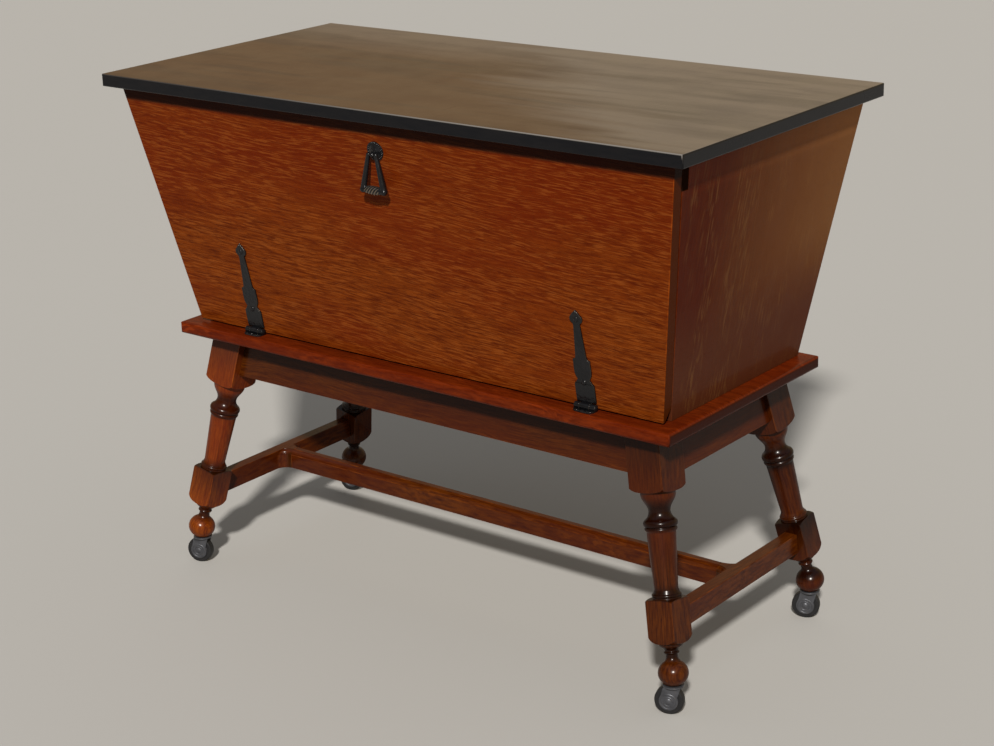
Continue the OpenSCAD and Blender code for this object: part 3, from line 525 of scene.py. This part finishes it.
def forged_iron(name, base, rubbed):
    """Hammered iron under black lacquer, rubbed grey on its edges, with polish and a painted
    glint on the rope's crests.
    """
    material, t = new_material(name)
    place = t.place()
    dents = t.add("ShaderNodeTexVoronoi", {"Vector": place, "Scale": 230.0, "Smoothness": 0.8},
                  feature="SMOOTH_F1").outputs["Distance"]
    grit = t.noise(place, 1500.0)
    film = t.group(worn_film, place=place, smear_size=0.02, scratch=0.8)
    wear = t.group(edge_wear, place=place, reach=0.4)["Wear"]
    # Polish and a painted glint on the rope's crests
    crest = t.times(t.attribute("crest_polish_and_glint"), t.span(grit, 0.3, 0.6, 0.5, 1.0))
    body = t.mix(film["Smear"], base, toned(base, 1.7))
    body = t.mix(t.times(wear, 0.6), body, rubbed)
    body = t.mix(crest, body, toned(rubbed, 4.0))
    bright = t.math("MAXIMUM", t.times(wear, 0.5), t.times(crest, 0.7))
    rough = t.plus(t.span(film["Smear"], 0.0, 1.0, 0.16, 0.27), t.times(grit, 0.06))
    height = t.plus(dents, t.times(grit, 0.12))
    t.shader(base_color=body, roughness=rough, metallic=bright,
             normal=t.bump(height, 0.38, 0.0010), specular_ior_level=0.28)
    return material


def sheet_steel(name, base, rough_low, rough_high):
    """Plated sheet steel with dull smears and fine scratches."""
    material, t = new_material(name)
    film = t.group(worn_film, place=t.place(), smear_size=0.012, scratch=0.8)
    body = t.mix(film["Smear"], base, toned(base, 0.55))
    body = t.mix(t.times(film["Speck"], 0.5), body, (0.10, 0.075, 0.055))
    rough = t.plus(t.span(film["Smear"], 0.0, 1.0, rough_low, rough_high),
                   t.times(film["Scratch"], 0.10))
    t.shader(base_color=body, metallic=0.6, roughness=rough, specular_ior_level=0.3,
             normal=t.bump(film["Scratch"], 0.15, 0.0002))
    return material


def moulded_plastic(name, base, rough):
    """Moulded plastic with a fine grain, scuffs and a little dust."""
    material, t = new_material(name)
    place = t.place()
    film = t.group(worn_film, place=place, smear_size=0.010, scratch=0.5)
    grit = t.noise(place, 1800.0)
    body = t.mix(film["Smear"], base, toned(base, 1.35))
    body = t.mix(t.times(film["Speck"], 0.25), body, (0.30, 0.28, 0.25))
    t.shader(base_color=body, roughness=t.plus(rough, t.times(grit, 0.12)),
             normal=t.bump(grit, 0.15, 0.0003))
    return material


def tyre_rubber(name, base):
    """Slightly dusty rubber."""
    material, t = new_material(name)
    place = t.place()
    film = t.group(worn_film, place=place, smear_size=0.009, scratch=0.4)
    grit = t.noise(place, 900.0, detail=3.0)
    body = t.mix(t.times(film["Smear"], 0.08), base, (0.060, 0.055, 0.050))
    t.shader(base_color=body, roughness=t.plus(0.44, t.times(grit, 0.25)),
             normal=t.bump(grit, 0.3, 0.0004), specular_ior_level=0.25)
    return material


def pale_floor(name, base):
    """Plain pale floor with the slightest cloud in it."""
    material, t = new_material(name)
    cloud = t.noise(t.place(), 1.3, detail=3.0)
    body = t.mix(t.times(cloud, 0.10), base, toned(base, 0.9))
    t.shader(base_color=body, roughness=0.75, specular_ior_level=0.2)
    return material


# Dressing the pieces


def select_only(obj):
    """Selects one object and makes it the active one."""
    bpy.ops.object.select_all(action="DESELECT")
    obj.select_set(True)
    bpy.context.view_layer.objects.active = obj


def merged_copy(node, name):
    """A copy of a CAD node whose loose triangles are joined into whole faces."""
    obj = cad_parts[node].copy()
    obj.data = obj.data.copy()
    obj.name = obj.data.name = name
    obj.parent = None
    for key in list(obj.keys()):
        del obj[key]
    bpy.context.scene.collection.objects.link(obj)
    select_only(obj)
    bpy.ops.object.mode_set(mode="EDIT")
    bpy.ops.mesh.select_all(action="SELECT")
    bpy.ops.mesh.remove_doubles(threshold=WELD)
    bpy.ops.mesh.dissolve_limited(angle_limit=math.radians(FLAT_ANGLE), delimit={"NORMAL"})
    bpy.ops.object.mode_set(mode="OBJECT")
    return obj


def mark_arrises(mesh, shortest):
    """Gives full bevel weight to each outer edge that is sharp enough and long enough."""
    faces = {}
    for face in mesh.polygons:
        for key in face.edge_keys:
            faces.setdefault(key, []).append((face.normal.copy(), face.center.copy()))
    weights = mesh.attributes.new("bevel_weight_edge", "FLOAT", "EDGE")
    sharp = math.radians(SHARP_ANGLE)
    for edge, weight in zip(mesh.edges, weights.data):
        a, b = (mesh.vertices[i].co for i in edge.vertices)
        sides = faces.get(edge.key, ())
        if len(sides) != 2 or (a - b).length <= shortest:
            continue
        (normal, _), (other_normal, other_centre) = sides
        if normal.angle(other_normal, 0.0) > sharp and (other_centre - a).dot(normal) < 0.0:
            weight.value = 1.0


def ease_arrises(obj, width, shortest=0.0):
    """Rounds the sharp edges by the given width, marks the new faces and shades what is round."""
    mesh = obj.data
    mark_arrises(mesh, shortest)
    # The bevel gives its new faces the second of two empty slots, which tells them apart
    mesh.materials.clear()
    for _ in range(2):
        mesh.materials.append(None)
    mesh.polygons.foreach_set("material_index", [0]*len(mesh.polygons))
    bevel = obj.modifiers.new("Arrises", "BEVEL")
    bevel.width = width
    bevel.segments = ARRIS_SEGMENTS
    bevel.limit_method = "WEIGHT"
    bevel.material = 1
    bevel.use_clamp_overlap = False
    select_only(obj)
    bpy.ops.object.modifier_apply(modifier=bevel.name)
    bpy.ops.object.shade_smooth_by_angle(angle=math.radians(ROUND_ANGLE))
    arris = mesh.attributes.new("arris", "FLOAT", "FACE")
    for face, mark in zip(mesh.polygons, arris.data):
        mark.value = float(face.material_index)
        face.material_index = 0
    even = obj.modifiers.new("Even normals", "WEIGHTED_NORMAL")
    even.keep_sharp = True
    bpy.ops.object.modifier_apply(modifier=even.name)


def lay_grain(obj, along, across, seed):
    """Stores each point's place along, across and through its board, and how far each face is
    end grain."""
    along = Vector(along).normalized()
    through = along.cross(Vector(across)).normalized()
    across = through.cross(along)
    shift = Vector([seed*step for step in GRAIN_STEP])
    grain = obj.data.attributes.new("grain", "FLOAT_VECTOR", "POINT")
    for vertex, item in zip(obj.data.vertices, grain.data):
        place = Vector((vertex.co.dot(along), vertex.co.dot(across), vertex.co.dot(through)))
        item.vector = place + shift
    end_grain = obj.data.attributes.new("end_grain", "FLOAT", "FACE")
    for face, item in zip(obj.data.polygons, end_grain.data):
        item.value = abs(face.normal.dot(along))


def finish_piece(obj, body, material, node):
    """Gives a piece its material and its body, and lets it stand for its CAD node."""
    obj.data.materials.clear()
    obj.data.materials.append(material)
    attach(obj, body)
    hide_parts(node)


def wooden(node, body, material, along, across, seed, arris, shortest=SHORT_BOARD_EDGE,
           stain=1.0):
    """One board or turning: merged, eased, with its own grain and its own take of the stain."""
    obj = merged_copy(node, node + "_wood")
    ease_arrises(obj, arris, shortest)
    lay_grain(obj, along, across, seed)
    taken = obj.data.attributes.new("stain", "FLOAT", "POINT")
    for item in taken.data:
        item.value = stain
    finish_piece(obj, body, material, node)
    return obj


def fitting(node, ending, body, material, arris):
    """One piece of iron, steel, plastic or rubber: merged and eased."""
    obj = merged_copy(node, node + ending)
    ease_arrises(obj, arris)
    finish_piece(obj, body, material, node)


def darken_coves(leg, axis):
    """Darkens a turned leg in bands round its coves."""
    axis = Vector(axis).normalized()
    top = max((vertex.co for vertex in leg.data.vertices), key=lambda co: co.z)
    for vertex, item in zip(leg.data.vertices, leg.data.attributes["stain"].data):
        down = (top - vertex.co).dot(axis)
        share = 0.0
        for begins, is_full, thins, ends in COVES:
            share = max(share, min(1.0, (down - begins)/(is_full - begins),
                                   (ends - down)/(ends - thins)))
        item.value *= 1.0 - COVE_DEPTH*share


def mark_crest_polish_and_glint(bail):
    """Marks the crests of the roped grip, the lowest stretch of the bail, for polish and a
    painted glint.
    """
    vertices = bail.data.vertices
    low = min(vertex.co.z for vertex in vertices)
    middle = sum(vertex.co.x for vertex in vertices)/len(vertices)
    grip = [vertex for vertex in vertices
            if vertex.co.z < low + GRIP_HEIGHT and abs(vertex.co.x - middle) < GRIP_HALF]
    y, z = (sum(vertex.co[i] for vertex in grip)/len(grip) for i in (1, 2))
    rings = {}
    for vertex in grip:
        radius = math.hypot(vertex.co.y - y, vertex.co.z - z)
        rings.setdefault(round(vertex.co.x, 5), []).append((vertex.index, radius))
    crest_polish_and_glint = bail.data.attributes.new("crest_polish_and_glint", "FLOAT", "POINT")
    for ring in rings.values():
        if len(ring) < GRIP_RING:
            continue
        crest = max(radius for _, radius in ring)
        for index, radius in ring:
            share = (radius/crest - CREST_FROM)/CREST_RISE
            crest_polish_and_glint.data[index].value = min(1.0, max(0.0, share))


def settings():
    """The colours, the sizes and the stage that the user can set."""
    scene = bpy.context.scene
    return scene.dough_bin_colours, scene.dough_bin_sizes, scene.dough_bin_stage


def lean_axis(sx, sy, lean):
    """Direction up a board that leans outwards to the side (sx, sy)."""
    return Vector((sx*math.sin(lean), sy*math.sin(lean), math.cos(lean)))


class DOUGHBIN_OT_top_board(Operator):
    """Dress the dark top board"""

    bl_idname = "doughbin.top_board"
    bl_label = "Top Board"

    def execute(self, context):
        colours, sizes, _ = settings()
        # The top's colour has the room's reflection painted in
        material = stained_top("Stained top", colours.top_light, colours.top_dark,
                               colours.top_sheen, colours.top_pale_sheen)
        wooden("top_board", "root", material, X, Y, 1, sizes.board_arris)
        return {"FINISHED"}


class DOUGHBIN_OT_sides(Operator):
    """Dress the side panels, the back panel and the front rail"""

    bl_idname = "doughbin.sides"
    bl_label = "Sides and Back"

    def execute(self, context):
        colours, sizes, _ = settings()
        # The sides' colour has painted reflections of the room and a painted band of light under
        # the top
        figure = {"wave": 0.006, "fleck_length": 0.032, "fleck_width": 0.0030,
                  "fleck_share": 0.52, "fleck_mix": 0.36, "under_top_painted_light": 0.8, "gloss": 0.34,
                  "coat": 0.05, "specular": 0.02}
        material = varnished_oak("Side oak", colours.side_light, colours.side_dark,
                                 colours.side_red, colours.side_fleck, colours.side_upper_back_reflection,
                                 colours.side_low_reflection, **figure)
        back_material = varnished_oak("Back oak", colours.side_light, colours.side_dark,
                                      colours.side_red, colours.side_fleck, None,
                                      colours.side_low_reflection, **figure)
        rail_material = varnished_oak("Rail oak", colours.rail_light, colours.rail_dark,
                                      colours.rail_dark, fleck_share=0.2, gloss=0.55, coat=0.0,
                                      specular=0.0)
        for node, sx, seed in (("side_panel_left", -1, 2), ("side_panel_right", 1, 3)):
            wooden(node, "root", material, lean_axis(sx, 0, sizes.side_lean), Y,
                   seed, sizes.board_arris)
        wooden("back_panel", "root", back_material, X,
               lean_axis(0, 1, sizes.back_lean), 4, sizes.board_arris)
        wooden("front_rail", "root", rail_material, X,
               lean_axis(0, -1, sizes.front_lean), 5, sizes.board_arris)
        return {"FINISHED"}


class DOUGHBIN_OT_fall_front(Operator):
    """Dress the fall front"""

    bl_idname = "doughbin.fall_front"
    bl_label = "Fall Front"

    def execute(self, context):
        colours, sizes, _ = settings()
        # The fall front has the top's shadow painted in along its upper edge
        material = varnished_oak("Front oak", colours.front_light, colours.front_dark,
                                 colours.front_red, colours.front_fleck, wave=0.003,
                                 line_width=0.0026, fleck_length=0.026, fleck_width=0.0018,
                                 fleck_share=0.78, fleck_mix=0.44, gloss=0.36, coat=0.03,
                                 specular=0.02, end_tone=0.32, upper_red=0.55,
                                 painted_shade=FRONT_PAINTED_SHADOW)
        wooden("fall_front", "flap", material, FRONT_GRAIN,
               lean_axis(0, -1, sizes.front_lean), 6, sizes.front_arris)
        return {"FINISHED"}


class DOUGHBIN_OT_base_board(Operator):
    """Dress the base board under the bin"""

    bl_idname = "doughbin.base_board"
    bl_label = "Base Board"

    def execute(self, context):
        colours, sizes, _ = settings()
        material = varnished_oak("Base oak", colours.base_light, colours.base_dark,
                                 colours.base_red, fleck_share=0.5, gloss=0.30, coat=0.08,
                                 specular=0.03, end_tone=0.18)
        wooden("base_board", "root", material, X, Y, 7, sizes.board_arris)
        return {"FINISHED"}


class DOUGHBIN_OT_stand(Operator):
    """Dress the legs, the aprons and the stretchers"""

    bl_idname = "doughbin.stand"
    bl_label = "Stand"

    def execute(self, context):
        colours, sizes, _ = settings()
        # The stand has the base board's shade painted in near its top
        material = varnished_oak("Stand oak", colours.stand_light, colours.stand_dark,
                                 colours.stand_red, line_width=0.0019, fleck_share=0.3,
                                 gloss=0.34, coat=0.30, coat_roughness=0.22, specular=0.02,
                                 painted_shade=STAND_PAINTED_SHADE)
        for seed, (node, corner, stain) in enumerate(LEGS, 10):
            sx, sy = CORNERS[corner]
            axis = (-sx*math.tan(sizes.splay_x), -sy*math.tan(sizes.splay_y), 1)
            leg = wooden(node, "root", material, axis, X, seed, sizes.stand_arris,
                         SHORT_LEG_EDGE, stain)
            darken_coves(leg, axis)
        rails = (("apron_front", X, lean_axis(0, 1, sizes.splay_y)),
                 ("apron_back", X, lean_axis(0, -1, sizes.splay_y)),
                 ("apron_left", Y, lean_axis(1, 0, sizes.splay_x)),
                 ("apron_right", Y, lean_axis(-1, 0, sizes.splay_x)),
                 ("stretcher_left", Y, X), ("stretcher_right", Y, X), ("stretcher_long", X, Y))
        for seed, (node, along, across) in enumerate(rails, 20):
            wooden(node, "root", material, along, across, seed, sizes.stand_arris)
        return {"FINISHED"}


class DOUGHBIN_OT_inside(Operator):
    """Dress the cleats and the catches inside the bin"""

    bl_idname = "doughbin.inside"
    bl_label = "Inside"

    def execute(self, context):
        colours, sizes, _ = settings()
        material = bare_oak("Bare oak", colours.inner_light, colours.inner_dark)
        for seed, node in enumerate(("top_cleats", "floor_cleats"), 30):
            wooden(node, "root", material, Y, X, seed, sizes.board_arris)
        plastic = moulded_plastic("Catch plastic", colours.catch, 0.42)
        steel = sheet_steel("Plate steel", colours.plate, 0.28, 0.42)
        arris = sizes.iron_arris*SMALL_ARRIS
        fitting("catch_magnets", "_eased", "root", plastic, arris)
        fitting("catch_plates", "_eased", "flap", steel, arris)
        return {"FINISHED"}


class DOUGHBIN_OT_hinges(Operator):
    """Dress the strap hinges, their feet, pins, nails and screws"""

    bl_idname = "doughbin.hinges"
    bl_label = "Strap Hinges"

    def execute(self, context):
        colours, sizes, _ = settings()
        material = forged_iron("Forged iron", colours.iron, colours.iron_rubbed)
        for node in ("strap_left", "strap_right", "strap_nails"):
            fitting(node, "_iron", "flap", material, sizes.iron_arris)
        for node in ("hinge_foot_left", "hinge_foot_right", "hinge_pins", "foot_screws"):
            fitting(node, "_iron", "root", material, sizes.iron_arris*FOOT_ARRIS)
        return {"FINISHED"}


class DOUGHBIN_OT_drop_pull(Operator):
    """Dress the rosette and the bail of the drop pull"""

    bl_idname = "doughbin.drop_pull"
    bl_label = "Drop Pull"

    def execute(self, context):
        material = bpy.data.materials["Forged iron"]
        for node, body in (("pull_rosette", "flap"), ("pull_bail", "bail")):
            obj = merged_copy(node, node + "_iron")
            bpy.ops.object.shade_smooth_by_angle(angle=math.radians(PULL_ROUND_ANGLE))
            # The rope's crests get polish and a painted glint
            if node == "pull_bail":
                mark_crest_polish_and_glint(obj)
            finish_piece(obj, body, material, node)
        return {"FINISHED"}


class DOUGHBIN_OT_castors(Operator):
    """Dress the castors"""

    bl_idname = "doughbin.castors"
    bl_label = "Castors"

    def execute(self, context):
        colours, sizes, _ = settings()
        steel = sheet_steel("Castor steel", colours.steel, 0.36, 0.56)
        hub = moulded_plastic("Castor hub", colours.hub, 0.34)
        tyre = tyre_rubber("Castor tyre", colours.tyre)
        pieces = [("castor_sockets", "root", "castor_steel", steel)]
        for corner in CORNERS:
            pieces += [("castor_fork_" + corner, "swivel_" + corner, "castor_steel", steel),
                       ("castor_axle_" + corner, "swivel_" + corner, "castor_steel", steel),
                       ("castor_hub_" + corner, "wheel_" + corner, "castor_hub", hub),
                       ("castor_tyre_" + corner, "wheel_" + corner, "castor_tyre", tyre)]
        for node, body, slot, material in pieces:
            fitting(node, "_eased", body, material, sizes.iron_arris*SMALL_ARRIS)
        return {"FINISHED"}


class DOUGHBIN_OT_stage(Operator):
    """Set up the floor, the lights and the camera"""

    bl_idname = "doughbin.stage"
    bl_label = "Stage"

    def execute(self, context):
        colours, _, stage = settings()
        self.floor(colours)
        self.room(stage)
        self.key(stage)
        self.camera(stage)
        return {"FINISHED"}

    def floor(self, colours):
        bpy.ops.object.select_all(action="DESELECT")
        bpy.ops.mesh.primitive_plane_add(size=FLOOR_SIZE, location=(0.0, 0.0, 0.0))
        floor = bpy.context.object
        floor.name = "floor"
        floor.data.materials.append(pale_floor("Pale floor", colours.floor))

    def room(self, stage):
        """Even light from all sides, and a plain backdrop where the room itself would show."""
        world = bpy.data.worlds.new("Studio")
        world.use_nodes = True
        t = Tree(world.node_tree)
        way = t.parts(t.add("ShaderNodeTexCoord").outputs["Generated"])
        tint = t.mix(t.span(way["X"], -0.9, -0.3), ROOM_LEFT, ROOM_SIDES)
        tint = t.mix(t.span(way["Y"], -0.1, -0.8), tint, ROOM_FRONT)
        tint = t.mix(t.span(way["Z"], 0.30, 0.90), tint, ROOM_CEILING)
        tint = t.mix(t.add("ShaderNodeLightPath").outputs["Is Camera Ray"], tint, BACKDROP)
        background = t.add("ShaderNodeBackground", {"Color": tint, "Strength": stage.sky})
        out = t.add("ShaderNodeOutputWorld")
        t.feed(background.outputs["Background"], out.inputs["Surface"])
        bpy.context.scene.world = world

    def key(self, stage):
        data = bpy.data.lights.new("Key", "SUN")
        data.energy = stage.key_strength
        data.angle = stage.key_spread
        data.color = KEY_TINT
        lamp = bpy.data.objects.new("Key", data)
        lamp.rotation_euler = (-Vector(stage.key_from)).to_track_quat("-Z", "Y").to_euler()
        bpy.context.scene.collection.objects.link(lamp)

    def camera(self, stage):
        data = bpy.data.cameras.new("Camera")
        data.lens = stage.camera_lens
        data.sensor_width = SENSOR_WIDTH
        camera = bpy.data.objects.new("Camera", data)
        turn = (Matrix.Rotation(stage.camera_yaw, 4, "Z")
                @ Matrix.Rotation(math.pi/2 - stage.camera_pitch, 4, "X")
                @ Matrix.Rotation(stage.camera_roll, 4, "Z"))
        camera.matrix_world = Matrix.Translation(stage.camera_at) @ turn
        bpy.context.scene.collection.objects.link(camera)
        bpy.context.scene.camera = camera
        bpy.context.scene.view_settings.view_transform = "Standard"


class DOUGHBIN_PT_panel(Panel):
    """Sidebar panel with the colours, the sizes and a button for each group of pieces."""

    bl_label = "Dough Bin"
    bl_idname = "DOUGHBIN_PT_panel"
    bl_space_type = "VIEW_3D"
    bl_region_type = "UI"
    bl_category = "Dough Bin"

    def draw(self, context):
        layout = self.layout
        for operator in OPERATORS:
            layout.operator(operator.bl_idname)
        for group in settings():
            box = layout.box()
            for name in group.__annotations__:
                box.prop(group, name)


GROUPS = (DoughBinColours, DoughBinSizes, DoughBinStage)
# In this order: the drop pull uses the iron that the hinges make
OPERATORS = (
    DOUGHBIN_OT_stage,
    DOUGHBIN_OT_top_board,
    DOUGHBIN_OT_sides,
    DOUGHBIN_OT_fall_front,
    DOUGHBIN_OT_base_board,
    DOUGHBIN_OT_stand,
    DOUGHBIN_OT_inside,
    DOUGHBIN_OT_hinges,
    DOUGHBIN_OT_drop_pull,
    DOUGHBIN_OT_castors,
)
CLASSES = (*GROUPS, *OPERATORS, DOUGHBIN_PT_panel)


def register():
    for cls in CLASSES:
        bpy.utils.register_class(cls)
    bpy.types.Scene.dough_bin_colours = PointerProperty(type=DoughBinColours)
    bpy.types.Scene.dough_bin_sizes = PointerProperty(type=DoughBinSizes)
    bpy.types.Scene.dough_bin_stage = PointerProperty(type=DoughBinStage)


def unregister():
    del bpy.types.Scene.dough_bin_stage
    del bpy.types.Scene.dough_bin_sizes
    del bpy.types.Scene.dough_bin_colours
    for cls in reversed(CLASSES):
        bpy.utils.unregister_class(cls)


def main():
    register()
    for operator in OPERATORS:
        group, name = operator.bl_idname.split(".")
        getattr(getattr(bpy.ops, group), name)()
    bpy.ops.object.select_all(action="DESELECT")


if __name__ == "__main__":
    main()
